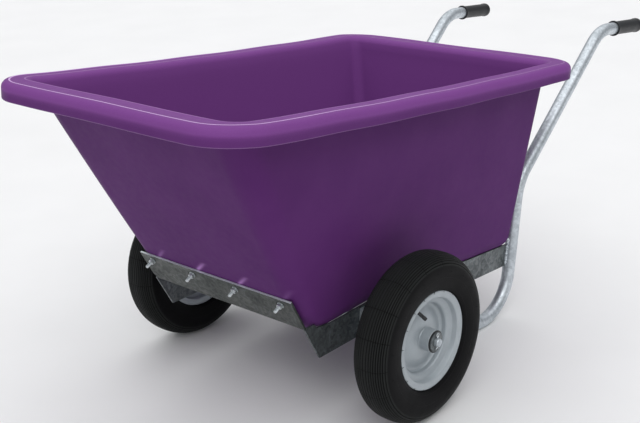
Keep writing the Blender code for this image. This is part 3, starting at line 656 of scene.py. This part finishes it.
def hexagon(low, high, apothem, bore):
    """(points, faces) of a hexagon nut with chamfered corners and a countersunk bore."""
    chamfer = 0.0009
    levels = ((low, bore + 0.0006), (low, apothem - 0.0001), (low + chamfer, None), (high - chamfer, None),
              (high, apothem - 0.0001), (high, bore + 0.0006), (high - 0.0006, bore), (low + 0.0006, bore))
    points = []
    count = 48
    for z, radius in levels:
        for k in range(count):
            turn = 2 * math.pi * k / count
            reach = radius
            if radius is None:
                reach = apothem / math.cos((turn + math.pi / 6) % (math.pi / 3) - math.pi / 6)
            points.append((reach * math.cos(turn), reach * math.sin(turn), z))
    return points, ring_faces(len(levels), count, True)


LEG_X, LEG_LEAN, LEG_Y, SPLAY = 0.5956, 0.063, 0.250, 0.024
HANDLE_Z, GRIP_START, GRIP_END = 0.803, 1.050, 1.192
FOOT_RISE = math.radians(25)
TUBE_RADIUS, TUBE_BORE, TUBE_SEGMENTS = 0.0170, 0.0140, 40


def tube_y(x):
    return LEG_Y + SPLAY * (x - LEG_X)


def tube_route():
    """The handle tube's centre line (x, z), from its forward end under the rail to inside the grip."""
    foot = (LEG_X + LEG_LEAN * (-0.0017 - 0.300), -0.0017)
    start = (foot[0] - 0.400 * math.cos(FOOT_RISE), foot[1] + 0.400 * math.sin(FOOT_RISE))
    corners = [start, foot, (LEG_X + LEG_LEAN * 0.128, 0.428), (0.9715, HANDLE_Z), (GRIP_END - 0.009, HANDLE_Z)]
    return filleted(corners, (0.123, 0.120, 0.110))


def build_handles():
    route = tube_route()
    for side, sign in SIDES.items():
        line = [Vector((p[0], sign * tube_y(p[0]), p[1])) for p in route]
        across = (line[-1] - line[0]).cross(Vector((0, 0, 1))).normalized()
        outer = sweep(line, [TUBE_RADIUS] * len(line), TUBE_SEGMENTS, across, close_ends=False)
        inner = sweep(line, [TUBE_BORE] * len(line), TUBE_SEGMENTS, across, close_ends=False)
        points, faces = joined(outer, inner)
        size = len(outer[0])
        for first in (0, size - TUBE_SEGMENTS):
            for k in range(TUBE_SEGMENTS):
                here, beside = first + k, first + (k + 1) % TUBE_SEGMENTS
                faces.append((here, beside, size + beside, size + here))
        piece(f"frame_tube_{side}", points, faces, "galvanised_steel", "cart", [f"handle_tube_{side}"])
        build_grip(side, sign)
        build_welds(side, sign)


def build_grip(side, sign):
    """A push-on rubber grip: a collar, a fluted barrel that swells a little, and a round-edged end."""
    length = GRIP_END - GRIP_START
    turn = Matrix.Rotation(sign * math.atan(SPLAY), 4, "Z")
    place = CART @ Matrix.Translation((GRIP_START, sign * tube_y(GRIP_START), HANDLE_Z)) @ turn
    collar = [(0.0, 0.0174), (0.0, 0.0208), (0.0007, 0.0217), (0.0035, 0.0218), (0.0046, 0.0212),
              (0.0054, 0.0200), (0.0080, 0.0191), (0.0110, 0.0189)]
    barrel = [(0.011 + (length - 0.034) * k / 12, 0.0189 + 0.0003 * k / 12) for k in range(1, 13)]
    end = [(length - 0.0200, 0.0194), (length - 0.0175, 0.0201), (length - 0.0150, 0.0206),
           (length - 0.0090, 0.0207), (length - 0.0050, 0.0202), (length - 0.0022, 0.0186),
           (length - 0.0006, 0.0150), (length, 0.0090), (length + 0.0002, 0.0004)]
    bore = [(length - 0.006, 0.0004), (length - 0.006, 0.0174)]

    def flute(along, radius, turn_at):
        if not 0.012 < along < length - 0.021 or radius < 0.018:
            return radius
        fade = min(1.0, (along - 0.012) / 0.006, (length - 0.021 - along) / 0.006)
        return radius - 0.00035 * fade * (0.5 + 0.5 * math.cos(28 * turn_at)) ** 3

    points, faces = lathe(bore + collar + barrel + end, 224, "X", closed=False, flute=flute)
    piece(f"hand_grip_{side}", points, faces, "black_rubber", "cart", [f"grip_{side}"], place, sharp=40.0)


def build_welds(side, sign):
    """Lumpy weld beads where the rail's end meets the leg."""
    beads = []
    for offset, low, high, wide in ((-0.0180, 0.200, 0.256, 0.0042), (-0.0160, 0.256, 0.272, 0.0048)):
        line, radii = [], []
        steps = 64
        for k in range(steps + 1):
            z = low + (high - low) * k / steps
            x = LEG_X + LEG_LEAN * (z - 0.300) + offset
            y = sign * (0.2476 + 0.0004 * math.sin(k * 0.9))
            line.append(Vector((x + 0.0005 * math.sin(k * 1.3), y, z)))
            fade = math.sqrt(max(0.05, 1 - (2 * k / steps - 1) ** 8))
            radii.append(fade * (wide + 0.0011 * math.sin(k * 2 * math.pi / 7) + 0.0005 * math.sin(k * 2.1)))
        beads.append(sweep(line, radii, 14, Vector((0, 1, 0))))
    points, faces = joined(*beads)
    piece(f"weld_bead_{side}", points, faces, "galvanised_steel", "cart")


# ---- wheels ----
WHEEL_SEGMENTS, NIBS = 144, 18
VALVE_TURN = math.radians(121)


def tyre_outline():
    """The tyre's section, ribbed outside and smooth inside, with how far each point lies in a groove."""
    knots = [(0.0, 0.2000), (0.0120, 0.1994), (0.0235, 0.1970), (0.0340, 0.1910), (0.0418, 0.1825),
             (0.0460, 0.1700), (0.0470, 0.1560), (0.0458, 0.1400), (0.0430, 0.1270), (0.0402, 0.1205),
             (0.0372, 0.1178), (0.0328, 0.1170)]
    line = smooth_line(knots, 22)
    grooves = (0.0040, 0.0110, 0.0170, 0.0225, 0.0280, 0.0335, 0.0385, 0.0435, 0.0500)
    reach, half, cuts = 0.0, [], []
    for i, point in enumerate(line):
        if i:
            reach += (point - line[i - 1]).length
        along = (line[min(i + 1, len(line) - 1)] - line[max(i - 1, 0)]).normalized()
        out = Vector((-along.y, along.x))
        cuts.append(max(math.exp(-(((reach - g) / 0.0010) ** 4)) for g in grooves))
        half.append(point - 0.0018 * cuts[-1] * out)
    bead = [Vector((0.0325, 0.1030)), Vector((0.0315, 0.1022)), Vector((0.0230, 0.1022))]
    inside = [Vector(p) for p in ((0.0235, 0.1140), (0.0330, 0.1340), (0.0430, 0.1560), (0.0340, 0.1790),
                                  (0.0220, 0.1890), (0.0, 0.1918))]
    right = half + bead + inside
    cuts += [0.0] * (len(bead) + len(inside))
    return [tuple(p) for p in right] + [(-p.x, p.y) for p in right[1:-1]][::-1], cuts + cuts[1:-1][::-1]


def build_tyre(side, place):
    """The ribbed casing, with the moulding's nibs beside the rim and on the sidewall."""
    outline, cuts = tyre_outline()
    points, faces = lathe(outline, WHEEL_SEGMENTS)
    nibs = []
    for k in range(NIBS):
        turn = 2 * math.pi * (k + 0.31 + 0.12 * math.sin(7.0 * k)) / NIBS
        radial = Vector((math.cos(turn), 0, math.sin(turn)))
        for y, r, dy, dr, length in ((0.0392, 0.1182, 0.30, -0.95, 0.0052),
                                     (0.0484, 0.1620, 0.95, 0.2, 0.0022)):
            start = Vector((0, y - 0.0006, 0)) + radial * r
            step = Vector((0, dy, 0)) + radial * dr
            nibs.append(sweep([start, start + step * length * 0.7, start + step * length],
                              [0.00065, 0.00060, 0.00030], 8, Vector((0.0, 0.3, 1.0))))
    points, faces = joined((points, faces), *nibs)
    made = piece(f"tyre_casing_{side}", points, faces, "tyre_rubber", f"wheel_{side}", [f"tyre_{side}"], place,
                 sharp=60.0)
    give(made, "groove", cuts * WHEEL_SEGMENTS)


def build_rim(side, place, valve_turn):
    """The rolled rim with its lips and drop centre, and the pressed disc between well and hub."""
    tyre_side = [(0.0125, 0.0850), (0.0160, 0.0905), (0.0195, 0.0990), (0.0225, 0.1014), (0.0300, 0.1014),
                 (0.0322, 0.1024), (0.0332, 0.1060), (0.0335, 0.1130), (0.0342, 0.1152), (0.0356, 0.1163),
                 (0.0372, 0.1158)]
    hub_side = [(0.0378, 0.1144), (0.0370, 0.1130), (0.0360, 0.1100), (0.0357, 0.1040), (0.0349, 0.1008),
                (0.0330, 0.0991), (0.0225, 0.0989), (0.0208, 0.0975), (0.0183, 0.0905), (0.0158, 0.0848),
                (0.0125, 0.0825)]
    left_tyre_side, left_hub_side = ([(-y, r) for y, r in line[::-1]] for line in (tyre_side, hub_side))
    points, faces = lathe(left_tyre_side + tyre_side + hub_side + left_hub_side, WHEEL_SEGMENTS)
    rim = piece(f"rim_barrel_{side}", points, faces, "silver_paint", f"wheel_{side}", [f"rim_{side}"], place,
                sharp=48.0)
    cut_valve_hole(rim, place, valve_turn)
    face = [(0.0150, 0.0268), (0.0138, 0.0290), (0.0130, 0.0330), (0.0115, 0.0440), (0.0070, 0.0560),
            (0.0010, 0.0680), (-0.0012, 0.0735), (-0.0010, 0.0780), (0.0010, 0.0806), (0.0040, 0.0822)]
    back = [(y - 0.0025, r) for y, r in face[:-2]] + [(-0.0022, 0.0812), (0.0010, 0.0822)]
    points, faces = lathe(face + back[::-1], 120)
    piece(f"pressed_disc_{side}", points, faces, "silver_paint", f"wheel_{side}", [f"wheel_disc_{side}"], place,
          sharp=50.0)


def cut_valve_hole(rim, place, valve_turn):
    """A round hole through the well's side for the valve."""
    base, along, _ = valve_axis(valve_turn)
    line = [base + along * 0.004, base + along * 0.026]
    points, faces = sweep(line, [0.0050, 0.0050], 32, Vector((0.31, 0.52, 0.8)))
    mesh = bpy.data.meshes.new("valve_cutter")
    mesh.from_pydata([tuple(p) for p in points], [], faces)
    face_out(mesh)
    cutter = bpy.data.objects.new("valve_cutter", mesh)
    bpy.context.scene.collection.objects.link(cutter)
    cutter.matrix_world = place
    hole = rim.modifiers.new("valve hole", "BOOLEAN")
    hole.object, hole.operation, hole.solver = cutter, "DIFFERENCE", "EXACT"
    bpy.context.view_layer.update()
    graph = bpy.context.evaluated_depsgraph_get()
    cut = bpy.data.meshes.new_from_object(rim.evaluated_get(graph))
    rim.modifiers.clear()
    rim.data = cut
    bpy.data.objects.remove(cutter, do_unlink=True)


def valve_axis(turn):
    """(base, direction, length) of the valve, which leans out of the well towards the hub."""
    base, end = Vector((0.0063, 0.1119)), Vector((0.0430, 0.0730))
    radial = Vector((math.cos(turn), 0, math.sin(turn)))
    lean = end - base
    along = (lean.x * Vector((0, 1, 0)) + lean.y * radial).normalized()
    return base.x * Vector((0, 1, 0)) + base.y * radial, along, lean.length


def build_valve(side, place, turn):
    base, along, length = valve_axis(turn)
    across = along.cross(Vector((0, 1, 0)).cross(along)).normalized()
    rotation = Matrix((along, across, along.cross(across))).transposed().to_4x4()
    spot = place @ Matrix.Translation(base) @ rotation
    stem = [(0.0, 0.0005), (0.0, 0.0052), (0.0006, 0.0056), (0.0016, 0.0055), (0.0030, 0.0046),
            (0.0230, 0.0043), (0.0300, 0.0041), (length - 0.0102, 0.0040), (length - 0.0095, 0.0036),
            (length - 0.0095, 0.0005)]
    points, faces = lathe(stem, 40, "X", closed=False)
    piece(f"valve_body_{side}", points, faces, "black_rubber", f"wheel_{side}", [f"valve_stem_{side}"], spot)
    cap = [(length - 0.0092, 0.0005), (length - 0.0092, 0.0042), (length - 0.0086, 0.0045),
           (length - 0.0014, 0.0044), (length - 0.0004, 0.0040), (length, 0.0030), (length, 0.0005)]

    def knurl(along_at, radius, turn_at):
        return radius - (0.00025 * (0.5 + 0.5 * math.cos(18 * turn_at)) if radius > 0.0043 else 0.0)

    points, faces = lathe(cap, 108, "X", closed=False, flute=knurl)
    piece(f"valve_top_{side}", points, faces, "black_rubber", f"wheel_{side}", [f"valve_cap_{side}"], spot)


def build_hub(side, place):
    """The hub's barrel with its weld to the disc, the seal, the washer and the split pin."""
    bore, end, shell = 0.0238, 0.0430, 0.0265
    front = [(end, bore), (end, shell - 0.0008), (end - 0.0008, shell), (0.0185, shell),
             (0.0172, shell + 0.0012), (0.0158, shell + 0.0006), (0.0150, shell)]
    back = [(-0.0150, shell), (-(end - 0.0008), shell), (-end, shell - 0.0008), (-end, bore)]
    inside = [(-0.0270, bore), (-0.0270, 0.0213), (0.0270, 0.0213), (0.0270, bore)]
    points, faces = lathe(front + back + inside, 96)
    piece(f"hub_barrel_{side}", points, faces, "silver_paint", f"wheel_{side}", [f"hub_{side}"], place)
    seal = loop([(0.0433, 0.0150), (0.0433, 0.0262), (0.0449, 0.0262), (0.0449, 0.0150)], 0.0006, 3)
    points, faces = lathe(seal, 96)
    piece(f"seal_ring_{side}", points, faces, "black_rubber", f"wheel_{side}", [f"hub_seal_{side}"], place)
    washer = loop([(0.0450, 0.0103), (0.0450, 0.0228), (0.0474, 0.0228), (0.0474, 0.0103)], 0.0006, 3)
    points, faces = lathe(washer, 96)
    # painted shade: the zinc washer is given the dark rail steel for the shadow it lies in
    piece(f"end_washer_{side}", points, faces, "shaded_rail_steel", "cart", [f"axle_washer_{side}"], place)
    build_split_pin(side, place)


def build_split_pin(side, place):
    """A split pin: its eye stands over the axle, and its two legs are bent back under it."""
    y, wire = 0.0500, 0.0010
    eye = arc((0.0, 0.0172), 0.0040, 262, -82, 28)
    down = [(0.00105, 0.0120), (0.00105, 0.0), (0.00105, -0.0110)]
    legs = []
    for sign, tail in ((1, arc((0.0061, -0.0112), 0.0050, 180, 262, 10)),
                       (-1, arc((-0.0051, -0.0112), 0.0040, 0, -55, 10))):
        legs.append([(sign * x, z) for x, z in down] + tail)
    first, second = legs
    route = [Vector((x, y, z)) for x, z in second[::-1] + eye + first]
    points, faces = sweep(route, [wire] * len(route), 12, Vector((0, 1, 0)))
    piece(f"cotter_{side}", points, faces, "zinc_plate", "cart", [f"split_pin_{side}"], place, sharp=60.0)


def build_wheels():
    for side in SIDES:
        place = wheel_place(side)
        turn = VALVE_TURN if side == "right" else math.pi - VALVE_TURN
        build_tyre(side, place)
        build_rim(side, place, turn)
        build_valve(side, place, turn)
        build_hub(side, place)


# ---- CAD nodes that stay ----
def dress_frame():
    """Materials, welded corners and broken edges for the pieces that keep their CAD shape."""
    looks = {"front_plate": "shaded_plate_steel", "axle": "galvanised_steel", "cross_member_front": "shaded_plate_steel",
             "cross_member_rear": "shaded_plate_steel"}
    for side in SIDES:
        looks[f"side_rail_{side}"] = "shaded_rail_steel"
        looks[f"axle_bracket_{side}"] = "galvanised_steel"
        looks[f"inner_tube_{side}"] = "black_rubber"
        for bearing in ("outer", "inner"):
            for race in ("outer", "inner"):
                looks[f"{bearing}_bearing_{side}_{race}_race"] = "bright_steel"
    for node, look in looks.items():
        obj = frame["nodes"][node]
        for slot in obj.material_slots:
            slot.material = LOOKS[look]
        weld = obj.modifiers.new("weld", "WELD")
        weld.merge_threshold = 0.00002
        if node in ("front_plate", "axle") or node.startswith(("side_rail", "axle_bracket", "cross_member")):
            bevel = obj.modifiers.new("broken edges", "BEVEL")
            bevel.width, bevel.segments, bevel.angle_limit = 0.0006, 2, math.radians(40)
            bevel.limit_method = "ANGLE"


# ---- studio ----
FLOOR_REACH, FLOOR_SINK = 60.0, 0.0006
# name, where it shines from, angle in degrees, strength
SUNS = (("sky", (-0.5, -0.4, 4.0), 100.0, 2.0), ("key", (-3.0, -3.4, 3.4), 50.0, 0.60),
        ("back", (3.0, 2.4, 3.2), 60.0, 0.35))


def build_studio():
    """A pale floor just under the tyres, a soft sky and two weak suns."""
    corners = [(FLOOR_REACH * x, FLOOR_REACH * y, 0) for x, y in ((-1, -1), (1, -1), (1, 1), (-1, 1))]
    floor_mesh = bpy.data.meshes.new("studio_floor")
    floor_mesh.from_pydata(corners, [], [(0, 1, 2, 3)])
    floor_mesh.materials.append(floor_paint())
    floor = bpy.data.objects.new("studio_floor", floor_mesh)
    bpy.context.scene.collection.objects.link(floor)
    floor.location.z = -FLOOR_SINK
    world = bpy.data.worlds.new("studio")
    bpy.context.scene.world = world
    world.use_nodes = True
    background = world.node_tree.nodes["Background"]
    background.inputs["Color"].default_value = rgb(0.93, 0.95, 1.0)
    background.inputs["Strength"].default_value = 0.30
    bpy.context.scene.view_settings.view_transform = "Standard"
    for name, spot, angle, strength in SUNS:
        light = bpy.data.lights.new(name, "SUN")
        light.angle, light.energy = math.radians(angle), strength
        lamp = bpy.data.objects.new(name, light)
        bpy.context.scene.collection.objects.link(lamp)
        lamp.location = spot
        lamp.rotation_euler = (-Vector(spot)).to_track_quat("-Z", "Y").to_euler()


def build_camera():
    """The viewing angle: from the front left and above, given in the cart's own trim."""
    yaw, pitch, roll = 0.85658, 0.28293, -0.022786
    ahead = Vector((math.sin(yaw) * math.cos(pitch), math.cos(yaw) * math.cos(pitch), -math.sin(pitch)))
    level = Vector((math.cos(yaw), -math.sin(yaw), 0))
    down = ahead.cross(level)
    across = level * math.cos(roll) + down * math.sin(roll)
    below = -level * math.sin(roll) + down * math.cos(roll)
    place = Matrix((across, -below, -ahead)).transposed().to_4x4()
    place.translation = (-1.91581, -1.73498, 1.16794)
    camera = bpy.data.cameras.new("camera")
    camera.lens, camera.sensor_width = 62.319, 36.0
    holder = bpy.data.objects.new("camera", camera)
    bpy.context.scene.collection.objects.link(holder)
    holder.matrix_world = CART @ place
    bpy.context.scene.camera = holder


build_tub()
build_fasteners()
build_handles()
build_wheels()
dress_frame()
build_studio()
build_camera()
